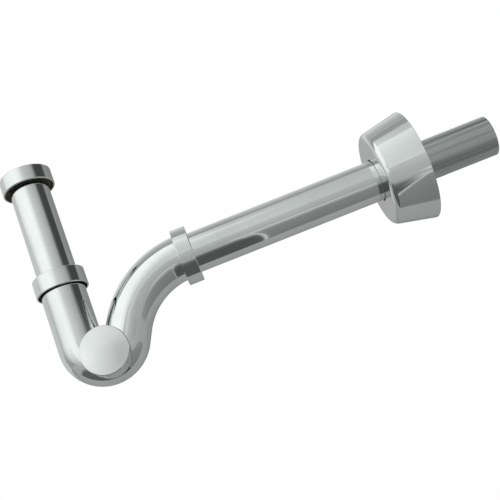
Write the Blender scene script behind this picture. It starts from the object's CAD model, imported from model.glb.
"""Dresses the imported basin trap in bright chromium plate, on white, at the photograph's angle.

Lengths are millimetres of the real object in the CAD's frame, unless a docstring says metres. The
origin is the seat that the basin waste presses on, +Z runs up the inlet and +X out to the wall.
"""

import logging
import math
from dataclasses import dataclass
from enum import Enum

import bpy
from mathutils import Matrix, Vector

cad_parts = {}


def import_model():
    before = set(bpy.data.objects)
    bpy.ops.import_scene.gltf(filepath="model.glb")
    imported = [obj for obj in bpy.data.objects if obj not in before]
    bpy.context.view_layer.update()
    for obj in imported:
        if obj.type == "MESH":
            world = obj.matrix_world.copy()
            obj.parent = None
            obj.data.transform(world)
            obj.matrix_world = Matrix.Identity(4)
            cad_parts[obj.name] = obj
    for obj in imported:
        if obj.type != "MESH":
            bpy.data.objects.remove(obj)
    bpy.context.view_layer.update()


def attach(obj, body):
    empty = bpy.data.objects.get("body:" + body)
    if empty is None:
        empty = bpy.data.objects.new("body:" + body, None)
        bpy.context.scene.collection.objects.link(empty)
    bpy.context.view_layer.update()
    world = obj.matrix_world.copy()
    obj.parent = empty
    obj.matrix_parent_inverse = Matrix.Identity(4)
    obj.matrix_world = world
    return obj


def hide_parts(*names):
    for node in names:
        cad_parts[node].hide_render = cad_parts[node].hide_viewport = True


MM = 0.001
WELD = 0.002  # turned points closer than this become one
FINE_WELD = 0.0005  # the same along the bend
SMOOTH_ANGLE = math.radians(30)
PITCH = 1.5  # of every thread
SLACK = 0.01  # how far past a thread's ends a ring of points is still cut
BORE_SKIN = 0.2  # faces up to this far outside a tube's bore belong to it
THREAD_SKIN = 0.1  # the same for the thread in a nut
LIP_EDGE = 0.3  # faces this near a closed lip's outer face stay plated
RANGE = ("Value", "From Min", "From Max", "To Min", "To Max")  # inputs of a Map Range node
LOG = logging.getLogger("basin_trap")

Point = tuple[float, float, float]
Span = tuple[float, float]
Quad = tuple[float, float, float, float]
CardRow = tuple[str, Span, Span, float, Quad, Quad]


class Slot(Enum):
    """The record's material slots."""

    CHROME = "chrome"
    SOCKET = "plated_socket"
    BRASS = "brass"
    RUBBER = "rubber"


class Side(Enum):
    """Which wall of a turned piece carries a thread."""

    OUTSIDE = 1
    INSIDE = -1


def srgb(code: str) -> Quad:
    """Turns an sRGB hex value into Blender's linear colour.

    Args:
        code: six hex digits.

    Returns:
        Linear red, green and blue, with alpha 1.
    """
    out = []
    for i in (0, 2, 4):
        c = int(code[i : i + 2], 16) / 255
        out.append(c / 12.92 if c <= 0.04045 else ((c + 0.055) / 1.055) ** 2.4)
    return out[0], out[1], out[2], 1.0


def wire(tree: bpy.types.NodeTree, node: bpy.types.Node, links: dict) -> bpy.types.Node:
    """Links a node's inputs, or gives them values.

    Args:
        tree: the node tree.
        node: the node.
        links: input name or number to an output, a node (its first output) or a plain value.

    Returns:
        The node.
    """
    for name, source in links.items():
        if isinstance(source, bpy.types.Node):
            source = source.outputs[0]
        if isinstance(source, bpy.types.NodeSocket):
            tree.links.new(source, node.inputs[name])
        else:
            node.inputs[name].default_value = source
    return node


def add_node(
    tree: bpy.types.NodeTree,
    kind: str,
    links: dict | None = None,
    stops: tuple[tuple[float, str], ...] = (),
    **settings: str,
) -> bpy.types.Node:
    """Adds one node with its settings and links.

    Args:
        tree: the node tree.
        kind: the node's type name, without ShaderNode before it.
        links: as in wire.
        stops: a colour ramp's places and sRGB hex values.
        settings: properties of the node itself.

    Returns:
        The new node.
    """
    node = tree.nodes.new(f"ShaderNode{kind}")
    for name, value in settings.items():
        setattr(node, name, value)
    for k, (spot, code) in enumerate(stops):
        node.color_ramp.elements[k].position = spot
        node.color_ramp.elements[k].color = srgb(code)
    return wire(tree, node, links or {})


# Finishes


def new_finish(name: str) -> tuple[bpy.types.Material, bpy.types.NodeTree, bpy.types.NodeSocket]:
    """Starts a material.

    Args:
        name: its name.

    Returns:
        The material, its node tree and the piece's Object coordinates.
    """
    material = bpy.data.materials.new(name)
    material.use_nodes = True
    tree = material.node_tree
    return material, tree, add_node(tree, "TexCoord").outputs["Object"]


def shade(material: bpy.types.Material, links: dict) -> bpy.types.Material:
    """Gives a material's shader its inputs. It is a metal unless they say otherwise.

    Args:
        material: the material.
        links: as in wire.

    Returns:
        The material.
    """
    tree = material.node_tree
    wire(tree, tree.nodes["Principled BSDF"], {"Metallic": 1.0, **links})
    return material


@dataclass(frozen=True)
class ChromePlate:
    """Bright chromium over nickel on polished brass tube: a mirror with a faint cool cast.

    The eye sees clean reflections that soften a little where the buffing wheel has left the
    surface wavy, and hairline rubbing marks that only a highlight shows.
    """

    name: str = "bright_chromium_plate"
    colour: str = "E0E6E4"
    cloud: str = "D6DDDB"
    worn: str = "CFCDC4"
    edge_wear: float = 0.08
    roughness: float = 0.05
    haze: float = 0.05
    wave_mm: float = 38.0
    wave_height_mm: float = 0.004
    hairline_mm: float = 0.35

    def build(self) -> bpy.types.Material:
        """Builds the material."""
        material, tree, spot = new_finish(self.name)
        # Buffing leaves the surface softly wavy over a thumb's width.
        wave = {"Vector": spot, "Scale": 1 / (self.wave_mm * MM), "Detail": 5.0, "Roughness": 0.55}
        smudge = add_node(tree, "TexNoise", wave)
        tone = add_node(tree, "ValToRGB", {"Fac": smudge}, ((0.4, self.colour), (0.7, self.cloud)))
        haze = (smudge, 0.45, 0.8, self.roughness, self.roughness + self.haze)
        rough = add_node(tree, "MapRange", dict(zip(RANGE, haze)))
        # Handling rubs the sharp edges first.
        sharp = add_node(tree, "NewGeometry").outputs["Pointiness"]
        edges = add_node(tree, "MapRange", dict(zip(RANGE, (sharp, 0.58, 0.7))))
        rubbed = add_node(tree, "MixRGB", {"Fac": edges, "Color1": tone, "Color2": srgb(self.worn)})
        wear = {0: edges, 1: self.edge_wear, 2: rough}
        dulled = add_node(tree, "Math", wear, operation="MULTIPLY_ADD")
        fine = {"Vector": spot, "Scale": 1 / (self.hairline_mm * MM), "Detail": 2.0}
        hairs = add_node(tree, "TexNoise", fine)
        height = self.wave_height_mm * MM
        swell = add_node(tree, "Bump", {"Height": smudge, "Strength": 1.0, "Distance": height})
        relief = {"Height": hairs, "Strength": 0.04, "Distance": 0.01 * MM, "Normal": swell}
        scratch = add_node(tree, "Bump", relief)
        return shade(material, {"Base Color": rubbed, "Roughness": dulled, "Normal": scratch})


@dataclass(frozen=True)
class BuffedFace:
    """The cap's flat face: plated like the rest, over the fine rings of a turned and buffed disc.

    The rings blur what the face mirrors, so it looks paler and softer than the tube round it.
    """

    name: str = "buffed_cap_face"
    colour: str = "E2E7E6"
    cloud: str = "DCE2E0"
    roughness: float = 0.13
    ring_mm: float = 0.3
    cloud_mm: float = 11.0
    centre: Point = (19.7, 0.0, -161.2)

    def build(self) -> bpy.types.Material:
        """Builds the material."""
        material, tree, spot = new_finish(self.name)
        shift = tuple(-value * MM for value in self.centre)
        home = add_node(tree, "Mapping", {"Vector": spot, "Location": shift})
        # The wave texture repeats after tau / 20 of its scaled length.
        scale = math.tau / (20 * self.ring_mm * MM)
        disc = {"Vector": home, "Scale": scale, "Distortion": 1.5, "Detail": 2.0}
        rings = add_node(tree, "TexWave", disc, wave_type="RINGS", rings_direction="Y")
        soft = {"Vector": spot, "Scale": 1 / (self.cloud_mm * MM), "Detail": 4.0}
        clouds = add_node(tree, "TexNoise", soft)
        tones = ((0.35, self.colour), (0.75, self.cloud))
        tone = add_node(tree, "ValToRGB", {"Fac": clouds}, tones)
        haze = (clouds, 0.3, 0.7, self.roughness - 0.01, self.roughness + 0.015)
        rough = add_node(tree, "MapRange", dict(zip(RANGE, haze)))
        relief = {"Height": rings.outputs["Fac"], "Strength": 0.1, "Distance": 0.001 * MM}
        bump = add_node(tree, "Bump", relief)
        return shade(material, {"Base Color": tone, "Roughness": rough, "Normal": bump})


@dataclass(frozen=True)
class SatinPlate:
    """Thin chromium over unpolished tube, as on the end that goes into the wall.

    The drawing die's fine lines run along the tube, so reflections smear into soft bands.
    """

    name: str = "satin_plated_tube"
    light: str = "BFC5C3"
    dark: str = "9FA6A4"
    roughness: float = 0.17
    grain_mm: float = 1.3
    hairline_mm: float = 0.3

    def build(self) -> bpy.types.Material:
        """Builds the material."""
        material, tree, spot = new_finish(self.name)
        # The grain is a hundred times as long as it is wide: it follows the draw, along X.
        drawn = add_node(tree, "Mapping", {"Vector": spot, "Scale": (0.01, 1.0, 1.0)})
        grain = {"Vector": drawn, "Scale": 1 / (self.grain_mm * MM), "Detail": 3.0}
        bands = add_node(tree, "TexNoise", grain)
        fine = {"Vector": drawn, "Scale": 1 / (self.hairline_mm * MM), "Detail": 2.0}
        lines = add_node(tree, "TexNoise", fine)
        tone = add_node(tree, "ValToRGB", {"Fac": bands}, ((0.35, self.dark), (0.65, self.light)))
        haze = (bands, 0.3, 0.7, self.roughness + 0.05, self.roughness - 0.03)
        rough = add_node(tree, "MapRange", dict(zip(RANGE, haze)))
        relief = {"Height": lines, "Strength": 0.06, "Distance": 0.002 * MM}
        bump = add_node(tree, "Bump", relief)
        return shade(material, {"Base Color": tone, "Roughness": rough, "Normal": bump})


@dataclass(frozen=True)
class GrainedFinish:
    """Two tones that one fine grain mixes, with relief from the same grain.

    Args:
        name: the material's name.
        dark: colour of the grain's low parts.
        light: colour of its high parts.
        roughness: the shader's roughness.
        grain_mm: size of the grain.
        grain: the noise's detail and roughness.
        stops: where along the noise the two tones stand.
        relief: the bump's strength and its height in millimetres, or none.
        metallic: 1 for a metal.
    """

    name: str
    dark: str
    light: str
    roughness: float
    grain_mm: float
    grain: Span
    stops: Span
    relief: Span | None = None
    metallic: float = 1.0

    def build(self) -> bpy.types.Material:
        """Builds the material."""
        material, tree, spot = new_finish(self.name)
        detail, rough = self.grain
        size = 1 / (self.grain_mm * MM)
        noise = {"Vector": spot, "Scale": size, "Detail": detail, "Roughness": rough}
        grain = add_node(tree, "TexNoise", noise)
        tones = tuple(zip(self.stops, (self.dark, self.light)))
        tone = add_node(tree, "ValToRGB", {"Fac": grain}, tones)
        links = {"Base Color": tone, "Metallic": self.metallic, "Roughness": self.roughness}
        if self.relief:
            strength, height = self.relief
            bump = {"Height": grain, "Strength": strength, "Distance": height * MM}
            links["Normal"] = add_node(tree, "Bump", bump)
        return shade(material, links)


@dataclass(frozen=True)
class DrawnBrass(GrainedFinish):
    """Bare brass inside the tubes, dulled brown where the plating bath hardly reached."""

    name: str = "drawn_brass_bore"
    dark: str = "6E5A3C"
    light: str = "A8926A"
    roughness: float = 0.38
    grain_mm: float = 9.0
    grain: Span = (6.0, 0.6)
    stops: Span = (0.35, 0.7)


@dataclass(frozen=True)
class TurnedBrass(GrainedFinish):
    """Free-cutting brass off the lathe: warm yellow, broken up by the tool's fine marks."""

    name: str = "turned_brass"
    dark: str = "B08A45"
    light: str = "D9B566"
    roughness: float = 0.22
    grain_mm: float = 0.4
    grain: Span = (3.0, 0.5)
    stops: Span = (0.3, 0.65)
    relief: Span | None = (0.2, 0.02)


@dataclass(frozen=True)
class MouldedRubber(GrainedFinish):
    """Black EPDM rubber from a plain mould: dull, with a faint bloom on it."""

    name: str = "moulded_epdm_rubber"
    dark: str = "1B1C1D"
    light: str = "34363A"
    roughness: float = 0.62
    grain_mm: float = 0.6
    grain: Span = (4.0, 0.5)
    stops: Span = (0.4, 0.8)
    relief: Span | None = (0.3, 0.03)
    metallic: float = 0.0


@dataclass(frozen=True)
class Finishes:
    """The materials that the pieces share."""

    chrome: bpy.types.Material
    buffed: bpy.types.Material
    satin: bpy.types.Material
    bore: bpy.types.Material
    recess: bpy.types.Material
    brass: bpy.types.Material
    rubber: bpy.types.Material

    @classmethod
    def mix(cls) -> "Finishes":
        """Builds one of each finish."""
        recess = DrawnBrass("dull_nut_recess", "33302A", "57544C", 0.5, 4.0)
        return cls(
            ChromePlate().build(),
            BuffedFace().build(),
            SatinPlate().build(),
            DrawnBrass().build(),
            recess.build(),
            TurnedBrass().build(),
            MouldedRubber().build(),
        )


# Work on the bench


@dataclass(frozen=True)
class Corner:
    """A corner of a turned piece's half section.

    Args:
        along: distance along the lathe's axis.
        radius: distance out from the axis.
        ease: radius that the corner is rounded to.
    """

    along: float
    radius: float
    ease: float = 0.0


def deselect() -> None:
    """Leaves edit mode and deselects every object."""
    if bpy.context.object and bpy.context.object.mode != "OBJECT":
        bpy.ops.object.mode_set(mode="OBJECT")
    bpy.ops.object.select_all(action="DESELECT")


def pick(piece: bpy.types.Object) -> None:
    """Selects one piece alone and makes it the active one.

    Args:
        piece: the piece.
    """
    deselect()
    piece.select_set(True)
    bpy.context.view_layer.objects.active = piece


def edit(piece: bpy.types.Object) -> None:
    """Opens a piece for editing with all its vertices selected.

    Args:
        piece: the piece.
    """
    pick(piece)
    bpy.ops.object.mode_set(mode="EDIT")
    bpy.ops.mesh.select_mode(type="VERT")
    bpy.ops.mesh.select_all(action="SELECT")


def take_up(name: str) -> bpy.types.Object:
    """Names the new primitive, applies its place and opens it for editing.

    Args:
        name: the piece's name.

    Returns:
        The piece.
    """
    piece = bpy.context.object
    piece.name = piece.data.name = name
    bpy.ops.object.transform_apply(location=True, rotation=False, scale=False)
    edit(piece)
    return piece


def rounded(corners: list[Corner], steps: int = 5, hold: float = 0.12) -> list[Span]:
    """Rounds a closed half section's corners.

    Args:
        corners: the corners in order.
        steps: faces round each eased corner.
        hold: distance from an arc's ends at which a point keeps the wall beside it flat.

    Returns:
        Points as distance along the axis and radius.
    """
    points: list[Span] = []
    count = len(corners)
    for i, corner in enumerate(corners):
        here = Vector((corner.along, corner.radius))
        if corner.ease <= 0:
            points.append((here.x, here.y))
            continue
        before = Vector((corners[i - 1].along, corners[i - 1].radius)) - here
        after = Vector((corners[(i + 1) % count].along, corners[(i + 1) % count].radius)) - here
        reach_in, reach_out = before.length, after.length
        before.normalize()
        after.normalize()
        half = before.angle(after) / 2
        cut = corner.ease / math.tan(half)
        middle = here + (before + after).normalized() * (corner.ease / math.sin(half))
        start = here + before * cut - middle
        end = here + after * cut - middle
        if reach_in > cut + 3 * hold:
            points.append(tuple(here + before * (cut + hold)))
        turn = start.angle_signed(end)
        for k in range(steps + 1):
            spot = start.copy()
            spot.rotate(Matrix.Rotation(-turn * k / steps, 2))
            points.append(tuple(middle + spot))
        if reach_out > cut + 3 * hold:
            points.append(tuple(here + after * (cut + hold)))
    return points


@dataclass(frozen=True)
class Lathe:
    """A lathe set up on one axis of the trap.

    Args:
        centre: a point on the axis.
        axis: the direction of the axis.
        out: a direction square to the axis, where the half section is drawn.
        steps: faces round the axis.
    """

    centre: Point
    axis: Point
    out: Point
    steps: int = 144

    def spot(self, along: float, radius: float) -> Vector:
        """Gives the place of a half-section point in metres."""
        where = Vector(self.centre) + Vector(self.axis) * along + Vector(self.out) * radius
        return where * MM

    def turn(
        self, name: str, corners: list[Corner], steps: int = 5, closed: bool = True
    ) -> bpy.types.Object:
        """Draws a half section by extruding a point, and spins it.

        Args:
            name: the new object's name.
            corners: the half section.
            steps: faces round each eased corner.
            closed: whether the section closes on itself; an open one ends on the axis.

        Returns:
            The turned piece.
        """
        points = [self.spot(*p) for p in rounded(corners, steps)]
        deselect()
        bpy.ops.mesh.primitive_plane_add(size=MM, location=points[0])
        piece = take_up(name)
        bpy.ops.mesh.merge(type="CENTER")
        for start, end in zip(points, points[1:] + (points[:1] if closed else [])):
            bpy.ops.mesh.extrude_region_move(TRANSFORM_OT_translate={"value": end - start})
        bpy.ops.mesh.select_all(action="SELECT")
        bpy.ops.mesh.remove_doubles(threshold=WELD * MM)
        bpy.ops.mesh.spin(
            steps=self.steps, angle=math.tau, center=Vector(self.centre) * MM, axis=self.axis
        )
        bpy.ops.mesh.select_all(action="SELECT")
        bpy.ops.mesh.remove_doubles(threshold=WELD * MM)
        bpy.ops.mesh.normals_make_consistent(inside=False)
        bpy.ops.object.mode_set(mode="OBJECT")
        bpy.ops.object.shade_smooth_by_angle(angle=SMOOTH_ANGLE)
        return piece

    def ring(
        self, name: str, ends: Span, radii: Span, eases: Span, steps: int = 2
    ) -> bpy.types.Object:
        """Turns a flat ring.

        Args:
            name: the new object's name.
            ends: where its two faces stand along the axis.
            radii: the bore's and the rim's.
            eases: radii that the bore's and the rim's edges are rounded to.
            steps: faces round each eased corner.

        Returns:
            The ring.
        """
        start, end = ends
        (bore, rim), (bore_ease, rim_ease) = radii, eases
        corners = [
            Corner(start, bore, bore_ease),
            Corner(start, rim, rim_ease),
            Corner(end, rim, rim_ease),
            Corner(end, bore, bore_ease),
        ]
        return self.turn(name, corners, steps)

    def cut_thread(
        self,
        piece: bpy.types.Object,
        side: Side,
        start: float,
        end: float,
        crest: float,
        depth: float = 0.5,
    ) -> None:
        """Cuts a fine helical thread into the wall between two places along the axis.

        Args:
            piece: the turned piece, with closely spaced rings where the thread goes.
            side: the wall that carries the thread.
            start: where the thread starts along the axis.
            end: where it ends.
            crest: the wall's radius before cutting.
            depth: how deep the thread is cut.
        """
        axis, out = Vector(self.axis), Vector(self.out)
        across = axis.cross(out)
        for vertex in piece.data.vertices:
            arm = vertex.co / MM - Vector(self.centre)
            along = arm.dot(axis)
            flat = arm - axis * along
            on_wall = abs(flat.length - crest) <= 2 * SLACK
            if not on_wall or not start - SLACK <= along <= end + SLACK:
                continue
            phase = along / PITCH - math.atan2(flat.dot(across), flat.dot(out)) / math.tau
            wave = 0.5 - 0.5 * math.cos(math.tau * phase)
            fade = min(1.0, (along - start) / (PITCH / 2), (end - along) / (PITCH / 2))
            # The wave is clipped, so that the groove has a flat root.
            cut = depth * max(0.0, fade) * min(1.0, 1.25 * wave)
            vertex.co = (Vector(self.centre) + arm - flat.normalized() * cut * side.value) * MM
        piece.data.update()


def thread_wall(start: float, end: float, radius: float, gap: float = 0.14) -> list[Corner]:
    """Gives closely spaced points along a wall that will carry a thread."""
    count = max(2, round(abs(end - start) / gap))
    return [Corner(start + (end - start) * k / count, radius) for k in range(count + 1)]


def paint(piece: bpy.types.Object, *materials: bpy.types.Material) -> None:
    """Puts materials on a piece, the first on every face."""
    piece.data.materials.clear()
    for material in materials:
        piece.data.materials.append(material)


def paint_bore(
    piece: bpy.types.Object, lathe: Lathe, radius: float, lip: float | None = None
) -> None:
    """Gives a turned piece's bore the second of its materials.

    Args:
        piece: the turned piece.
        lathe: the lathe it was turned on.
        radius: faces nearer the axis than this belong to the bore.
        lip: where a closed lip's outer face stands along the axis. It stays plated.
    """
    axis = Vector(lathe.axis)
    for face in piece.data.polygons:
        arm = face.center / MM - Vector(lathe.centre)
        along = arm.dot(axis)
        on_lip = lip is not None and abs(along - lip) < LIP_EDGE
        if (arm - axis * along).length < radius and not on_lip:
            face.material_index = 1


def place(
    piece: bpy.types.Object, node: str, body: str, slot: Slot, *materials: bpy.types.Material
) -> None:
    """Stands a finished piece in for its CAD node and reports it.

    Args:
        piece: the piece.
        node: the CAD node that it replaces.
        body: the body that it rides on.
        slot: its material slot in the record.
        materials: go on the piece first, where it isn't painted yet.
    """
    if materials:
        paint(piece, *materials)
    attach(piece, body)
    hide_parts(node)
    LOG.info("%s: %d faces, on %s", piece.name, len(piece.data.polygons), body)


INLET = Lathe((0, 0, 0), (0, 0, 1), (1, 0, 0))
PORT = Lathe((19.7, 0, -161.2), (0, -1, 0), (1, 0, 0))
OUTLET = Lathe((0, 0, -108.0625), (1, 0, 0), (0, 0, 1))


@dataclass(frozen=True)
class ClosedNut:
    """A round nut with a closed lip, threaded behind a plain mouth.

    Args:
        node: its CAD node, and the body that it rides on.
        lathe: the lathe on its axis.
        face: where the lip's outer face stands along the axis.
        lip: where its inner face stands.
        root: where the thread ends and the undercut starts.
        rim: where the mouth's rim stands.
        mouth_depth: how deep the mouth is plain.
        radius: the outside's.
        thread_r: the thread's radius.
        undercut_r: the undercut's radius.
        bore_r: radius of the hole in the lip.
        edge: radius that the outer edges are rounded to.
    """

    node: str
    lathe: Lathe
    face: float
    lip: float
    root: float
    rim: float
    mouth_depth: float
    radius: float
    thread_r: float
    undercut_r: float
    bore_r: float = 16.3
    edge: float = 0.6

    def build(self, finishes: Finishes) -> None:
        """Turns the nut and cuts its thread.

        Args:
            finishes: the shared materials.
        """
        mouth = self.rim + self.mouth_depth
        nut = self.lathe.turn(
            f"{self.node}_plated",
            [
                Corner(self.face, self.bore_r, 0.25),
                Corner(self.lip, self.bore_r, 0.2),
                Corner(self.lip, self.undercut_r, 0.2),
                Corner(self.root, self.undercut_r),
                *thread_wall(self.root, mouth, self.thread_r),
                Corner(self.rim, self.thread_r, 0.4),
                Corner(self.rim, self.radius, self.edge),
                Corner(self.face, self.radius, self.edge),
            ],
        )
        self.lathe.cut_thread(nut, Side.INSIDE, mouth, self.root, self.thread_r)
        paint(nut, finishes.chrome, finishes.recess)
        paint_bore(nut, self.lathe, self.thread_r + THREAD_SKIN, self.face)
        place(nut, self.node, self.node, Slot.CHROME)


@dataclass(frozen=True)
class ThreadedSocket:
    """A ring with a thread outside, brazed round one end of the bend.

    Args:
        node: its CAD node.
        lathe: the lathe on its axis.
        start: where it starts along the axis.
        end: where it ends.
        radius: the thread's.
        bore_r: the bore's radius.
        edge: how far the thread stays off the two ends.
    """

    node: str
    lathe: Lathe
    start: float
    end: float
    radius: float
    bore_r: float = 17.85
    edge: float = 0.6

    def build(self, *materials: bpy.types.Material) -> None:
        """Turns the socket and cuts its thread.

        Args:
            materials: the first goes on the thread, and a second on bore and ends.
        """
        low, high = self.start + self.edge, self.end - self.edge
        socket = self.lathe.turn(
            f"{self.node}_plated",
            [
                Corner(self.start, self.bore_r),
                Corner(self.start, self.radius - self.edge),
                *thread_wall(low, high, self.radius),
                Corner(self.end, self.radius - self.edge),
                Corner(self.end, self.bore_r),
            ],
        )
        self.lathe.cut_thread(socket, Side.OUTSIDE, low, high, self.radius)
        paint(socket, *materials)
        if len(materials) > 1:
            paint_bore(socket, self.lathe, self.radius - self.edge)
        place(socket, self.node, "bend", Slot.SOCKET)


@dataclass(frozen=True)
class UnionJoint:
    """The inlet tube with its flared collar, and the union nut that draws it up to the waste."""

    finishes: Finishes
    tube_r: float = 16.0
    bore_r: float = 14.8
    collar_r: float = 19.2
    collar_bottom: float = -4.0
    collar_top: float = -2.5
    tube_end: float = -118.8
    ring_bottom: float = -4.77  # 0.03 above the lip, so that the two faces never share a plane
    ring_bore_r: float = 16.3
    nut_bottom: float = -6.8
    nut_top: float = 6.2
    nut_r: float = 21.5
    nut_rim: float = 1.4
    rim_skin: float = 0.15
    nut_lip: float = 2.0
    recess: float = 1.1
    thread_r: float = 20.1
    thread_depth: float = 0.55
    undercut_r: float = 20.5
    thread_start: float = 0.0
    edge: float = 0.6
    fine_edge: float = 0.3

    def turn_tube(self) -> None:
        """Turns the inlet tube and its collar."""
        tube = INLET.turn(
            "inlet_tube_plated",
            [
                Corner(self.tube_end, self.bore_r, self.fine_edge),
                Corner(self.tube_end, self.tube_r, self.fine_edge),
                Corner(self.collar_bottom, self.tube_r, 0.5),
                Corner(self.collar_bottom, self.collar_r, 0.3),
                Corner(self.collar_top, self.collar_r, 0.3),
                Corner(self.collar_top, self.bore_r, 1.1),
            ],
        )
        paint(tube, self.finishes.chrome, self.finishes.bore)
        paint_bore(tube, INLET, self.bore_r + BORE_SKIN)
        place(tube, "inlet_tube", "inlet", Slot.CHROME)

    def turn_nut(self) -> None:
        """Turns the union nut and cuts its thread."""
        thread_end = self.nut_top - self.edge
        nut = INLET.turn(
            "union_nut_plated",
            [
                Corner(self.nut_bottom + self.recess, self.ring_bore_r, 0.2),
                Corner(self.nut_bottom + self.recess, self.nut_r - self.nut_rim, 0.4),
                Corner(self.nut_bottom, self.nut_r - self.nut_rim, 0.3),
                Corner(self.nut_bottom, self.nut_r, self.edge),
                Corner(self.nut_top, self.nut_r, self.edge),
                Corner(self.nut_top, self.thread_r + self.edge, 0.1),
                *thread_wall(thread_end, self.thread_start, self.thread_r),
                Corner(self.thread_start, self.undercut_r),
                Corner(self.nut_bottom + self.nut_lip, self.undercut_r, 0.2),
                Corner(self.nut_bottom + self.nut_lip, self.ring_bore_r, 0.2),
            ],
        )
        INLET.cut_thread(
            nut, Side.INSIDE, self.thread_start, thread_end, self.thread_r, self.thread_depth
        )
        paint(nut, self.finishes.chrome, self.finishes.recess)
        paint_bore(nut, INLET, self.nut_r - self.nut_rim + self.rim_skin)
        place(nut, "union_nut", "union_nut", Slot.CHROME)

    def turn_rings(self) -> None:
        """Turns the thrust ring and the flat washer."""
        ring = INLET.ring(
            "union_thrust_ring_turned",
            (self.ring_bottom, self.collar_bottom),
            (self.ring_bore_r, self.collar_r),
            (0.1, 0.1),
        )
        place(ring, "union_thrust_ring", "union_thrust_ring", Slot.BRASS, self.finishes.brass)
        washer = INLET.ring(
            "union_washer_moulded",
            (self.collar_top, 0.0),
            (self.bore_r, self.collar_r),
            (self.fine_edge, self.fine_edge),
            steps=5,
        )
        place(washer, "union_washer", "inlet", Slot.RUBBER, self.finishes.rubber)

    def build(self) -> None:
        """Makes every piece of the joint."""
        self.turn_tube()
        self.turn_nut()
        self.turn_rings()


@dataclass(frozen=True)
class SlipJoint:
    """The sliding joint: nut, slip ring, tapered seal and the bend's threaded socket."""

    finishes: Finishes
    nut: ClosedNut = ClosedNut(
        "inlet_slip_nut",
        INLET,
        face=-84.7,
        lip=-86.7,
        root=-90.5,
        rim=-98.8,
        mouth_depth=2.4,
        radius=21.0,
        thread_r=19.7,
        undercut_r=19.75,
    )
    socket: ThreadedSocket = ThreadedSocket("inlet_socket", INLET, -97.0, -90.5, 19.4)
    nest_r: float = 18.8
    ring_bottom: float = -87.5
    bend_top: float = -90.5
    seal_bore_r: float = 16.05
    nose_end: float = -92.2
    nose_root_r: float = 17.4
    nose_tip_r: float = 16.55

    def turn_rings(self) -> None:
        """Turns the slip ring and the tapered seal."""
        ring = INLET.ring(
            "inlet_slip_ring_turned",
            (self.ring_bottom, self.nut.lip),
            (self.nut.bore_r, self.nest_r),
            (0.1, 0.1),
        )
        place(ring, "inlet_slip_ring", "inlet_slip_ring", Slot.BRASS, self.finishes.brass)
        seal = INLET.turn(
            "inlet_seal_moulded",
            [
                Corner(self.nose_end, self.seal_bore_r, 0.1),
                Corner(self.nose_end, self.nose_tip_r, 0.1),
                Corner(self.bend_top, self.nose_root_r),
                Corner(self.bend_top, self.nest_r, 0.15),
                Corner(self.ring_bottom, self.nest_r, 0.3),
                Corner(self.ring_bottom, self.seal_bore_r, 0.2),
            ],
            steps=3,
        )
        place(seal, "inlet_seal", "inlet_seal", Slot.RUBBER, self.finishes.rubber)

    def build(self) -> None:
        """Makes every piece of the joint."""
        self.nut.build(self.finishes)
        self.turn_rings()
        self.socket.build(self.finishes.chrome, self.finishes.recess)


@dataclass(frozen=True)
class BendRun:
    """The bend's centre line: inlet leg, tight U, straight rise, wide turn and outlet stub."""

    top: float = -90.5
    u_level: float = -145.8
    u_radius: float = 18.2
    u_turn: float = 153.5
    rise: float = 10.4
    s_radius: float = 66.0
    stub: float = 2.5
    sides: int = 192
    u_steps: int = 72
    s_steps: int = 72

    def knots(self) -> tuple[Vector, Vector, Vector, Vector, Vector]:
        """Works out where the centre line turns.

        Returns:
            The rise's direction, the U's centre and end, and the wide turn's start and centre.
        """
        turn = math.radians(self.u_turn)
        way = Vector((math.sin(turn), 0, -math.cos(turn)))
        u_centre = Vector((self.u_radius, 0, self.u_level))
        u_end = u_centre + Vector((-math.cos(turn), 0, -math.sin(turn))) * self.u_radius
        s_start = u_end + way * self.rise
        s_centre = s_start + Vector((way.z, 0, -way.x)) * self.s_radius
        return way, u_centre, u_end, s_start, s_centre

    def sweep(self, radius: float, name: str) -> bpy.types.Object:
        """Draws one wall of the bend from a ring by extruding and spinning it.

        Args:
            radius: the wall's radius.
            name: the new object's name.

        Returns:
            The wall as an open tube.
        """
        turn = math.radians(self.u_turn)
        way, u_centre, _, _, s_centre = self.knots()
        deselect()
        bpy.ops.mesh.primitive_circle_add(
            vertices=self.sides, radius=radius * MM, location=(0, 0, self.top * MM)
        )
        wall = take_up(name)
        bpy.ops.mesh.extrude_region_move(
            TRANSFORM_OT_translate={"value": (0, 0, (self.u_level - self.top) * MM)}
        )
        bpy.ops.mesh.spin(steps=self.u_steps, angle=turn, center=u_centre * MM, axis=(0, 1, 0))
        bpy.ops.mesh.extrude_region_move(TRANSFORM_OT_translate={"value": way * self.rise * MM})
        bpy.ops.mesh.spin(
            steps=self.s_steps, angle=turn - math.pi / 2, center=s_centre * MM, axis=(0, -1, 0)
        )
        bpy.ops.mesh.extrude_region_move(TRANSFORM_OT_translate={"value": (self.stub * MM, 0, 0)})
        bpy.ops.mesh.select_all(action="SELECT")
        bpy.ops.mesh.remove_doubles(threshold=FINE_WELD * MM)
        bpy.ops.object.mode_set(mode="OBJECT")
        return wall


def select_loose_ends(piece: bpy.types.Object, low: Point, high: Point) -> None:
    """Selects the open edges that lie inside a box.

    Args:
        piece: the piece, open for editing.
        low: the box's low corner.
        high: its high corner.
    """
    bpy.ops.mesh.select_mode(type="EDGE")
    bpy.ops.mesh.select_all(action="DESELECT")
    bpy.ops.mesh.select_non_manifold(
        extend=False,
        use_wire=False,
        use_boundary=True,
        use_multi_face=False,
        use_non_contiguous=False,
        use_verts=False,
    )
    bpy.ops.object.mode_set(mode="OBJECT")
    for edge in piece.data.edges:
        ends = [piece.data.vertices[k].co / MM for k in edge.vertices]
        inside = all(low[i] <= end[i] <= high[i] for end in ends for i in range(3))
        edge.select = edge.select and inside
    bpy.ops.object.mode_set(mode="EDIT")


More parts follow.
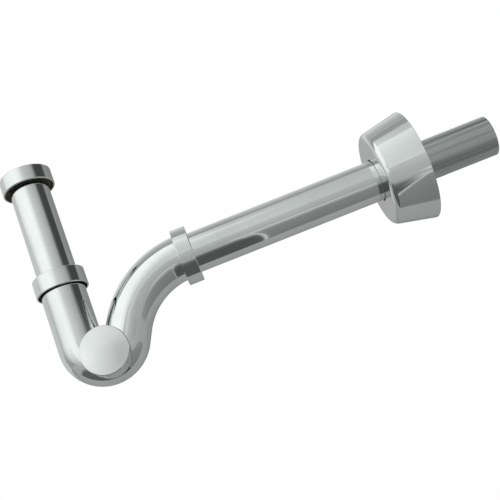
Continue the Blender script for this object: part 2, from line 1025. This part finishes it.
def boolean_cut(piece: bpy.types.Object, tool: bpy.types.Object) -> None:
    """Cuts a tool's volume out of a piece and removes the tool.

    Args:
        piece: the piece.
        tool: the closed tool.
    """
    pick(piece)
    cut = piece.modifiers.new("cut", "BOOLEAN")
    cut.operation = "DIFFERENCE"
    cut.solver = "EXACT"
    cut.object = tool
    bpy.ops.object.modifier_apply(modifier=cut.name)
    bpy.data.objects.remove(tool, do_unlink=True)


@dataclass(frozen=True)
class Bend:
    """The drawn bend with its clean-out hole."""

    finishes: Finishes
    run: BendRun = BendRun()
    outer_r: float = 17.8
    bore_r: float = 16.3
    seat_width: float = 1.2
    seat_depth: float = 2.4
    end_x: float = 100.694
    drill: Span = (9.0, 28.0)

    def ends(self) -> tuple[tuple[Point, Point], ...]:
        """Gives a box round each end of the bend."""
        return (
            ((-30, -30, self.run.top - 0.1), (30, 30, self.run.top + 0.1)),
            ((self.end_x - 0.1, -30, -140), (self.end_x + 0.1, 30, -80)),
        )

    def solid(self, name: str, grow: float) -> bpy.types.Object:
        """Makes the bend as if it were a bar, to cut other pieces to its shape.

        Args:
            name: the bar's name.
            grow: how much its radius is larger than the tube's.

        Returns:
            The bar.
        """
        bar = self.run.sweep(self.outer_r + grow, name)
        edit(bar)
        for low, high in self.ends():
            select_loose_ends(bar, low, high)
            bpy.ops.mesh.edge_face_add()
        bpy.ops.mesh.select_all(action="SELECT")
        bpy.ops.mesh.normals_make_consistent(inside=False)
        bpy.ops.object.mode_set(mode="OBJECT")
        return bar

    def build(self, port_r: float) -> None:
        """Bends the tube, cones its mouth and cuts the clean-out hole.

        Args:
            port_r: radius of the clean-out hole.
        """
        tube = self.run.sweep(self.outer_r, "trap_bend_plated")
        self.thicken(tube)
        boolean_cut(tube, self.seat_cutter())
        start, end = self.drill
        drill = PORT.turn(
            "port_drill",
            [Corner(start, 0.0), Corner(start, port_r), Corner(end, port_r), Corner(end, 0.0)],
            closed=False,
        )
        boolean_cut(tube, drill)
        bpy.ops.object.shade_smooth_by_angle(angle=SMOOTH_ANGLE)
        paint(tube, self.finishes.chrome, self.finishes.bore)
        self.paint_inside(tube)
        place(tube, "trap_bend", "bend", Slot.CHROME)

    def thicken(self, tube: bpy.types.Object) -> None:
        """Gives the outer wall its thickness, inwards.

        Args:
            tube: the outer wall.
        """
        edit(tube)
        bpy.ops.mesh.normals_make_consistent(inside=False)
        bpy.ops.object.mode_set(mode="OBJECT")
        mouth = Vector((0, 0, self.run.top * MM))
        face = min(tube.data.polygons, key=lambda f: (f.center - mouth).length)
        if face.normal.x * face.center.x + face.normal.y * face.center.y < 0:
            edit(tube)
            bpy.ops.mesh.flip_normals()
            bpy.ops.object.mode_set(mode="OBJECT")
        wall = tube.modifiers.new("wall", "SOLIDIFY")
        wall.thickness = (self.outer_r - self.bore_r) * MM
        wall.offset = -1
        wall.use_even_offset = True
        bpy.ops.object.modifier_apply(modifier=wall.name)

    def seat_cutter(self) -> bpy.types.Object:
        """Turns the cone that cuts the seal's seat in the mouth."""
        top = self.run.top
        slope = self.seat_width / self.seat_depth
        return INLET.turn(
            "seat_cutter",
            [
                Corner(top + 1, 0.0),
                Corner(top + 1, self.bore_r + self.seat_width + slope),
                Corner(top - self.seat_depth - 0.2, self.bore_r - 0.2 * slope),
                Corner(top - self.seat_depth - 0.2, 0.0),
            ],
            closed=False,
        )

    def paint_inside(self, tube: bpy.types.Object) -> None:
        """Gives the bore its own finish, telling it by its distance from the centre line.

        Args:
            tube: the bend.
        """
        run = self.run
        way, u_centre, u_end, s_start, s_centre = run.knots()
        for face in tube.data.polygons:
            spot = face.center / MM
            if spot.x < run.u_radius and spot.z > run.u_level:
                line = Vector((0, 0, spot.z))
            elif (spot - u_end).dot(way) < 0:
                arm = Vector((spot.x - u_centre.x, 0, spot.z - u_centre.z))
                line = u_centre + arm.normalized() * run.u_radius
            elif (spot - s_start).dot(way) < 0:
                line = u_end + way * (spot - u_end).dot(way)
            elif spot.x < s_centre.x:
                arm = Vector((spot.x - s_centre.x, 0, spot.z - s_centre.z))
                line = s_centre + arm.normalized() * run.s_radius
            else:
                line = Vector((spot.x, 0, s_centre.z + run.s_radius))
            if (spot - line).length < (self.outer_r + self.bore_r) / 2:
                face.material_index = 1


@dataclass(frozen=True)
class CleanOut:
    """The clean-out on the front of the U: brazed boss, gasket and round cap."""

    finishes: Finishes
    bend: Bend
    port_r: float = 13.9
    boss_root: float = 4.0
    boss_body_r: float = 18.0
    boss_shoulder: float = 19.4
    boss_thread_r: float = 16.9
    boss_face: float = 23.8
    saddle_gap: float = 0.05
    cap_rim: float = 19.9
    cap_r: float = 18.7
    cap_thread_r: float = 17.2
    cap_root: float = 25.6
    cap_face: float = 28.4
    cap_edge: float = 0.8
    cap_crown: float = 0.5
    crown_rings: int = 12
    edge: float = 0.6

    def turn_boss(self) -> None:
        """Turns the boss, threads it and cuts its foot to a saddle."""
        start, end = self.boss_shoulder + 0.3, self.boss_face - self.edge
        boss = PORT.turn(
            "cleanout_boss_plated",
            [
                Corner(self.boss_root, self.port_r),
                Corner(self.boss_root, self.boss_body_r),
                Corner(self.boss_shoulder, self.boss_body_r, 0.3),
                Corner(self.boss_shoulder, self.boss_thread_r),
                *thread_wall(start, end, self.boss_thread_r),
                Corner(self.boss_face, self.boss_thread_r - self.edge),
                Corner(self.boss_face, self.port_r, 0.3),
            ],
        )
        PORT.cut_thread(boss, Side.OUTSIDE, start, end, self.boss_thread_r)
        boolean_cut(boss, self.bend.solid("saddle_cutter", self.saddle_gap))
        bpy.ops.object.shade_smooth_by_angle(angle=SMOOTH_ANGLE)
        place(boss, "cleanout_boss", "bend", Slot.SOCKET, self.finishes.chrome)

    def turn_gasket(self) -> None:
        """Turns the flat gasket."""
        gasket = PORT.ring(
            "cleanout_gasket_cut",
            (self.boss_face, self.cap_root),
            (self.port_r, self.boss_thread_r),
            (0.15, 0.15),
        )
        place(gasket, "cleanout_gasket", "cleanout_gasket", Slot.RUBBER, self.finishes.rubber)

    def turn_cap(self) -> None:
        """Turns the cap with its crowned face and internal thread."""
        flat_r = self.cap_r - self.cap_edge
        shares = [k / self.crown_rings for k in range(self.crown_rings)]
        crown = [Corner(self.cap_face + self.cap_crown * (1 - s**2), flat_r * s) for s in shares]
        start, end = self.cap_rim + self.edge, self.cap_root - 0.3
        cap = PORT.turn(
            "cleanout_cap_plated",
            [
                *crown,
                Corner(self.cap_face, self.cap_r, self.cap_edge),
                Corner(self.cap_rim, self.cap_r, 0.3),
                Corner(self.cap_rim, self.cap_thread_r + self.edge, 0.1),
                *thread_wall(start, end, self.cap_thread_r),
                Corner(self.cap_root, self.cap_thread_r),
                Corner(self.cap_root, 0.0),
            ],
            steps=8,
            closed=False,
        )
        PORT.cut_thread(cap, Side.INSIDE, start, end, self.cap_thread_r)
        paint(cap, self.finishes.chrome, self.finishes.buffed)
        # Only the crowned face is buffed.
        for face in cap.data.polygons:
            if face.center.y < -self.cap_face * MM and face.normal.y < -0.9:
                face.material_index = 1
        place(cap, "cleanout_cap", "cleanout_cap", Slot.CHROME)

    def build(self) -> None:
        """Makes every piece of the clean-out."""
        self.turn_boss()
        self.turn_gasket()
        self.turn_cap()


@dataclass(frozen=True)
class OutletJoint:
    """The ground joint between bend and wall tube, and the wall tube itself."""

    finishes: Finishes
    nut: ClosedNut = ClosedNut(
        "outlet_nut",
        OUTLET,
        face=106.294,
        lip=104.294,
        root=100.694,
        rim=94.194,
        mouth_depth=1.6,
        radius=22.4,
        thread_r=21.0,
        undercut_r=21.05,
    )
    socket: ThreadedSocket = ThreadedSocket("outlet_socket", OUTLET, 95.994, 100.694, 20.7)
    collar_bore_r: float = 16.05
    nest_r: float = 20.1
    collar_start: float = 101.894
    collar_end: float = 103.694
    tube_r: float = 16.0
    tube_bore_r: float = 14.8
    spigot_x: float = 286.994
    spigot_r: float = 15.8
    tube_end: float = 351.994

    def turn_rings(self) -> None:
        """Turns the washer, the brazed collar and the thrust ring."""
        bend_end, ring_end, bore_r = self.nut.root, self.nut.lip, self.nut.bore_r
        start, end = self.collar_start, self.collar_end
        rubber, brass = self.finishes.rubber, self.finishes.brass
        thrust = "outlet_thrust_ring"
        for node, body, slot, ends, bore, ease, material in (
            ("outlet_washer", "bend", Slot.RUBBER, (bend_end, start), bore_r, 0.2, rubber),
            ("outlet_collar", "outlet", Slot.BRASS, (start, end), self.collar_bore_r, 0.25, brass),
            (thrust, thrust, Slot.BRASS, (end, ring_end), bore_r, 0.1, brass),
        ):
            ring = OUTLET.ring(f"{node}_turned", ends, (bore, self.nest_r), (0.1, ease))
            place(ring, node, body, slot, material)

    def turn_tube(self) -> None:
        """Turns the wall tube, its last part left satin and a little smaller."""
        step = self.tube_r - self.spigot_r
        tube = OUTLET.turn(
            "outlet_tube_plated",
            [
                Corner(self.collar_start, self.tube_bore_r, 0.15),
                Corner(self.collar_start, self.tube_r, 0.15),
                Corner(self.spigot_x - step, self.tube_r, 0.08),
                Corner(self.spigot_x, self.spigot_r, 0.08),
                Corner(self.tube_end, self.spigot_r, 0.3),
                Corner(self.tube_end, self.tube_bore_r, 0.3),
            ],
        )
        paint(tube, self.finishes.chrome, self.finishes.bore, self.finishes.satin)
        paint_bore(tube, OUTLET, self.tube_bore_r + BORE_SKIN)
        for face in tube.data.polygons:
            if face.center.x > (self.spigot_x - step) * MM and face.material_index == 0:
                face.material_index = 2
        place(tube, "outlet_tube", "outlet", Slot.CHROME)

    def build(self) -> None:
        """Makes every piece of the joint."""
        self.nut.build(self.finishes)
        self.socket.build(self.finishes.chrome)
        self.turn_rings()
        self.turn_tube()


@dataclass(frozen=True)
class WallFlange:
    """The deep spun flange and the rubber ring that grips the wall tube in its bore."""

    finishes: Finishes
    face: float = 258.094
    rim: float = 290.694
    bore_r: float = 17.0
    shoulder_r: float = 36.7
    rim_r: float = 43.6
    shoulder: float = 5.0
    wall: float = 1.2
    grip_bore_r: float = 16.05
    grip_seat_r: float = 16.95
    grip_r: float = 20.0
    grip_end: float = 261.794
    grip_inset: float = 0.3
    steps: int = 192

    def build(self) -> None:
        """Spins the shell and moulds the grip ring."""
        flare = (self.rim_r - self.shoulder_r) / (self.rim - self.face)
        slant = self.wall * math.sqrt(1 + flare**2)
        back = self.face + self.wall
        inner_r = self.shoulder_r + self.wall * flare - slant
        lathe = Lathe(OUTLET.centre, OUTLET.axis, OUTLET.out, self.steps)
        shell = lathe.turn(
            "wall_flange_spun",
            [
                Corner(self.face, self.bore_r, 0.3),
                Corner(self.face, self.shoulder_r, self.shoulder),
                Corner(self.rim, self.rim_r, 0.25),
                Corner(self.rim, self.rim_r - slant, 0.25),
                Corner(back, inner_r, self.shoulder - self.wall),
                Corner(back, self.bore_r, 0.3),
            ],
            steps=14,
        )
        place(shell, "wall_flange", "wall_flange", Slot.CHROME, self.finishes.chrome)
        front = self.face + self.grip_inset
        grip = OUTLET.turn(
            "flange_grip_ring_moulded",
            [
                Corner(front, self.grip_bore_r, 0.15),
                Corner(front, self.grip_seat_r, 0.15),
                Corner(back, self.grip_seat_r, 0.05),
                Corner(back, self.grip_r, 0.3),
                Corner(self.grip_end, self.grip_r, 0.3),
                Corner(self.grip_end, self.grip_bore_r, 0.3),
            ],
            steps=3,
        )
        place(grip, "flange_grip_ring", "flange_grip_ring", Slot.RUBBER, self.finishes.rubber)


# Studio


def bare_tree(owner: bpy.types.Material | bpy.types.World) -> bpy.types.NodeTree:
    """Gives the emptied node tree of a new material or world.

    Args:
        owner: the material or world.

    Returns:
        Its node tree.
    """
    owner.use_nodes = True
    owner.node_tree.nodes.clear()
    return owner.node_tree


def seen_directly(tree: bpy.types.NodeTree) -> bpy.types.Node:
    """Adds the nodes that give 1 to the camera, to metal and to glass, and 0 to the rest.

    Args:
        tree: the node tree.

    Returns:
        The last of them.
    """
    path = add_node(tree, "LightPath")
    seen = path.outputs["Is Camera Ray"]
    for name in ("Is Glossy Ray", "Is Transmission Ray"):
        seen = add_node(tree, "Math", {0: seen, 1: path.outputs[name]}, operation="MAXIMUM")
    return seen


@dataclass(frozen=True)
class Card:
    """A studio card that only the metal sees, with edges that fade out.

    Args:
        name: what the card is.
        centre: metres from the trap's middle.
        across: direction of the card's width.
        upward: direction of the card's height.
        size: metres across and up.
        fade: shares of the size over which the left, right, low and high edges fade.
        glow: brightness at low left, low right, high left and high right; white is 1.
    """

    name: str
    centre: Point
    across: Point
    upward: Point
    size: Span
    fade: Quad
    glow: Quad

    @classmethod
    def round_trap(
        cls, name: str, azimuth: Span, elevation: Span, distance: float, fade: Quad, glow: Quad
    ) -> "Card":
        """Stands a card up by the directions that it covers, as the trap sees them.

        Args:
            name: what the card is.
            azimuth: degrees from -Y towards +X of its two sides.
            elevation: degrees above the level of its low and high edges.
            distance: metres from the trap's middle.
            fade: as in the class.
            glow: as in the class.

        Returns:
            The card.
        """
        turn = math.radians(sum(azimuth) / 2)
        tilt = math.radians(sum(elevation) / 2)
        level = math.cos(tilt)
        way = Vector((math.sin(turn) * level, -math.cos(turn) * level, math.sin(tilt)))
        across = Vector((math.cos(turn), math.sin(turn), 0))
        upward = across.cross(way) * -1
        wide = 2 * distance * level * math.tan(math.radians(azimuth[1] - azimuth[0]) / 2)
        high = 2 * distance * math.tan(math.radians(elevation[1] - elevation[0]) / 2)
        centre = tuple(way * distance)
        return cls(name, centre, tuple(across), tuple(upward), (wide, high), fade, glow)

    @classmethod
    def lying(cls, name: str, x: Span, y: Span, z: float, fade: Quad, glow: Quad) -> "Card":
        """Lays a card level.

        Args:
            name: what the card is.
            x: metres of its two sides from the trap's middle.
            y: metres of its front and back edges.
            z: its level in metres.
            fade: as in the class, from -X, +X, -Y and +Y.
            glow: as in the class.

        Returns:
            The card.
        """
        centre = ((x[0] + x[1]) / 2, (y[0] + y[1]) / 2, z)
        return cls(name, centre, (1, 0, 0), (0, 1, 0), (x[1] - x[0], y[1] - y[0]), fade, glow)

    def finish(self) -> bpy.types.Material:
        """Builds the card's material: a graded glow that fades out at its edges."""
        material = bpy.data.materials.new(self.name)
        tree = bare_tree(material)
        spot = add_node(tree, "TexCoord").outputs["UV"]
        axes = add_node(tree, "SeparateXYZ", {"Vector": spot})
        left, right, low, high = self.fade
        cover = None
        for axis, start, end in (
            ("X", 0.0, left),
            ("X", 1.0, 1.0 - right),
            ("Y", 0.0, low),
            ("Y", 1.0, 1.0 - high),
        ):
            ramp = dict(zip(RANGE, (axes.outputs[axis], start, end)))
            edge = add_node(tree, "MapRange", ramp, interpolation_type="SMOOTHSTEP")
            if cover is not None:
                edge = add_node(tree, "Math", {0: cover, 1: edge}, operation="MULTIPLY")
            cover = edge
        rows = [
            add_node(
                tree,
                "MapRange",
                {"Value": axes.outputs["X"], "To Min": self.glow[k], "To Max": self.glow[k + 1]},
            )
            for k in (0, 2)
        ]
        grade = {"Value": axes.outputs["Y"], "To Min": rows[0], "To Max": rows[1]}
        level = add_node(tree, "MapRange", grade)
        glow = add_node(tree, "Emission", {"Color": level, "Strength": 1.0})
        clear = add_node(tree, "BsdfTransparent")
        mix = add_node(tree, "MixShader", {0: cover, 1: clear, 2: glow})
        add_node(tree, "OutputMaterial", {"Surface": mix})
        return material

    def stand(self, middle: Vector) -> None:
        """Stands the card in its place, seen by the metal and not by the camera.

        Args:
            middle: the trap's middle in metres.
        """
        deselect()
        bpy.ops.mesh.primitive_plane_add(size=1)
        card = bpy.context.object
        card.name = card.data.name = self.name
        across, upward = Vector(self.across), Vector(self.upward)
        turn = Matrix((across, upward, across.cross(upward))).transposed().to_4x4()
        spot = Matrix.Translation(middle + Vector(self.centre))
        card.matrix_world = spot @ turn @ Matrix.Diagonal((*self.size, 1, 1))
        paint(card, self.finish())
        card.visible_camera = False
        card.visible_diffuse = False
        card.visible_shadow = False


# What Card.round_trap takes, for each card that stands round the trap.
STANDING: tuple[CardRow, ...] = (
    ("key_soft_box", (-98, 2), (-26, 76), 1.6, (0.42, 0.4, 0.52, 0.16), (0.9, 1.2, 1.35, 1.25)),
    (
        "left_low_card", (-108, -36), (-44, 28), 2.1,
        (0.1, 0.15, 0.1, 0.15), (0.22, 0.22, 0.62, 0.62),
    ),
    ("front_card", (-45, 60), (-40, 68), 2.2, (0.2, 0.1, 0.15, 0.06), (1.36, 0.12, 1.0, 0.35)),
    ("cap_card", (-26, 1.5), (-5, 13.5), 0.7, (0.3, 0.3, 0.25, 0.25), (1.1, 0.2, 1.6, 0.25)),
    ("front_low_card", (-26, 62), (-42, 19), 2.15, (0.15, 0.08, 0.1, 0.16), (0.5, 0.3, 0.9, 0.35)),
    ("dark_flag", (44, 107), (-2, 62), 1.7, (0.32, 0.16, 0.35, 0.25), (0.07, 0.07, 0.07, 0.07)),
    ("right_card", (94, 174), (-40, 70), 2.3, (0.02, 0.12, 0.1, 0.15), (0.6, 0.34, 0.22, 0.12)),
    ("left_back_card", (-150, -92), (-30, 62), 2.3, (0.2, 0.2, 0.2, 0.2), (0.68, 0.7, 0.68, 0.7)),
    ("back_card", (146, 234), (-14, 62), 2.4, (0.12, 0.1, 0.06, 0.12), (0.12, 0.5, 0.5, 0.9)),
)

# What Card.lying takes, for each card above and below it.
LYING: tuple[CardRow, ...] = (
    (
        "top_end_flag", (0.45, 1.6), (-0.22, 0.07), 1.19,
        (0.2, 0.1, 0.3, 0.3), (0.16, 0.16, 0.16, 0.16),
    ),
    ("top_strip", (-1.2, 1.6), (-0.33, 0.12), 1.2, (0.1, 0.1, 0.2, 0.2), (0.4, 0.4, 0.4, 0.4)),
    ("top_card", (-1.8, 2.2), (-0.36, 0.12), 1.4, (0.1, 0.1, 0.1, 0.01), (0.64, 0.62, 0.6, 0.56)),
    (
        "top_front_card", (-0.1, 2.2), (-0.9, -0.3), 1.42,
        (0.15, 0.1, 0.1, 0.05), (0.66, 0.6, 0.62, 0.6),
    ),
    (
        "top_back_card", (-1.8, 2.2), (0.12, 1.9), 1.4,
        (0.1, 0.1, 0.01, 0.2), (0.45, 0.42, 1.0, 0.95),
    ),
    (
        "low_dark_flag", (-0.9, 0.131), (-0.66, 0.13), -0.448,
        (0.2, 0.003, 0.5, 0.06), (0.16, 0.1, 0.14, 0.1),
    ),
    (
        "low_outline", (0.11, 0.1338), (-0.6, 0.12), -0.449,
        (0.3, 0.02, 0.1, 0.06), (0.8, 0.8, 0.8, 0.8),
    ),
    (
        "low_bright_strip", (0.085, 0.5), (-0.79, -0.64), -0.452,
        (0.06, 0.5, 0.3, 0.25), (0.78, 0.78, 0.75, 0.75),
    ),
    (
        "low_flag", (-0.8, 1.3), (-0.53, 0.12), -0.455,
        (0.2, 0.2, 0.15, 0.06), (0.24, 0.36, 0.16, 0.3),
    ),
    ("low_card", (-3.0, 3.4), (-3.5, 0.2), -0.465, (0.1, 0.1, 0.01, 0.06), (0.8, 0.5, 0.5, 0.34)),
    (
        "low_back_card", (-3.0, 3.4), (0.05, 3.5), -0.47,
        (0.1, 0.1, 0.01, 0.01), (0.44, 0.40, 0.26, 0.2),
    ),
)


@dataclass(frozen=True)
class Studio:
    """White sweep, soft cards, a soft lamp and the photograph's camera."""

    middle: Point = (60.0, 0.0, -100.0)
    floor_level: float = -600.0
    floor_side: float = 6.0  # metres
    floor_lift: float = 0.3
    soft_level: float = 0.8
    lamp_place: Point = (-0.9, -1.2, 1.3)  # metres
    lamp_size: float = 1.2  # metres
    lamp_power: float = 12.0
    camera_place: Point = (113.036, -672.431, -330.736)
    camera_right: Point = (0.92945756, 0.12863631, -0.34577645)
    camera_down: Point = (-0.36890064, 0.31241943, -0.8753893)
    camera_ahead: Point = (-0.00457957, 0.94119435, 0.33783461)
    camera_lens: float = 65.76
    camera_shift: Span = (0.12, -0.04)

    def light_world(self) -> None:
        """Sets a white background for camera and metal, and a plain soft level for the rest."""
        world = bpy.data.worlds.new("studio")
        bpy.context.scene.world = world
        tree = bare_tree(world)
        seen = seen_directly(tree)
        soft, white = (
            add_node(tree, "Background", {"Color": (1, 1, 1, 1), "Strength": level})
            for level in (self.soft_level, 1.0)
        )
        mix = add_node(tree, "MixShader", {0: seen, 1: soft, 2: white})
        add_node(tree, "OutputWorld", {"Surface": mix})

    def lay_floor(self) -> None:
        """Lays a pale floor that keeps the trap's shadow."""
        deselect()
        spot = (0, 0, self.floor_level * MM)
        bpy.ops.mesh.primitive_plane_add(size=self.floor_side, location=spot)
        floor = bpy.context.object
        floor.name = floor.data.name = "floor"
        material = bpy.data.materials.new("pale_floor")
        tree = bare_tree(material)
        seen = seen_directly(tree)
        paper = add_node(tree, "BsdfDiffuse", {"Color": srgb("F4F4F4")})
        lift = add_node(tree, "Math", {0: seen, 1: self.floor_lift}, operation="MULTIPLY")
        white = add_node(tree, "Emission", {"Strength": lift})
        both = add_node(tree, "AddShader", {0: paper, 1: white})
        add_node(tree, "OutputMaterial", {"Surface": both})
        paint(floor, material)

    def hang_lamp(self) -> None:
        """Hangs one broad soft lamp over the trap's front left."""
        deselect()
        bpy.ops.object.light_add(type="AREA", location=self.lamp_place)
        lamp = bpy.context.object
        lamp.name = "soft_lamp"
        lamp.data.size = self.lamp_size
        lamp.data.energy = self.lamp_power
        way = Vector(self.middle) * MM - lamp.location
        lamp.rotation_euler = way.to_track_quat("-Z", "Y").to_euler()
        lamp.visible_glossy = False

    def stand_camera(self) -> None:
        """Stands the camera where the photograph was taken from."""
        deselect()
        bpy.ops.object.camera_add()
        camera = bpy.context.object
        camera.name = "photograph_camera"
        right, down, ahead = map(Vector, (self.camera_right, self.camera_down, self.camera_ahead))
        turn = Matrix((right, -down, -ahead)).transposed().to_4x4()
        camera.matrix_world = Matrix.Translation(Vector(self.camera_place) * MM) @ turn
        camera.data.sensor_width = 36.0
        camera.data.lens = self.camera_lens
        camera.data.shift_x, camera.data.shift_y = self.camera_shift
        bpy.context.scene.camera = camera

    def build(self) -> None:
        """Sets up the whole studio."""
        self.light_world()
        self.lay_floor()
        self.hang_lamp()
        cards = [Card.round_trap(*row) for row in STANDING]
        cards += [Card.lying(*row) for row in LYING]
        for card in cards:
            card.stand(Vector(self.middle) * MM)
        self.stand_camera()
        bpy.context.scene.view_settings.view_transform = "Standard"


def main() -> None:
    """Loads the frame, dresses every piece, and sets the studio round it."""
    logging.basicConfig(level=logging.INFO, format="%(name)s: %(message)s")
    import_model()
    finishes = Finishes.mix()
    UnionJoint(finishes).build()
    SlipJoint(finishes).build()
    bend = Bend(finishes)
    clean_out = CleanOut(finishes, bend)
    bend.build(clean_out.port_r)
    clean_out.build()
    OutletJoint(finishes).build()
    WallFlange(finishes).build()
    Studio().build()


if __name__ == "__main__":
    main()
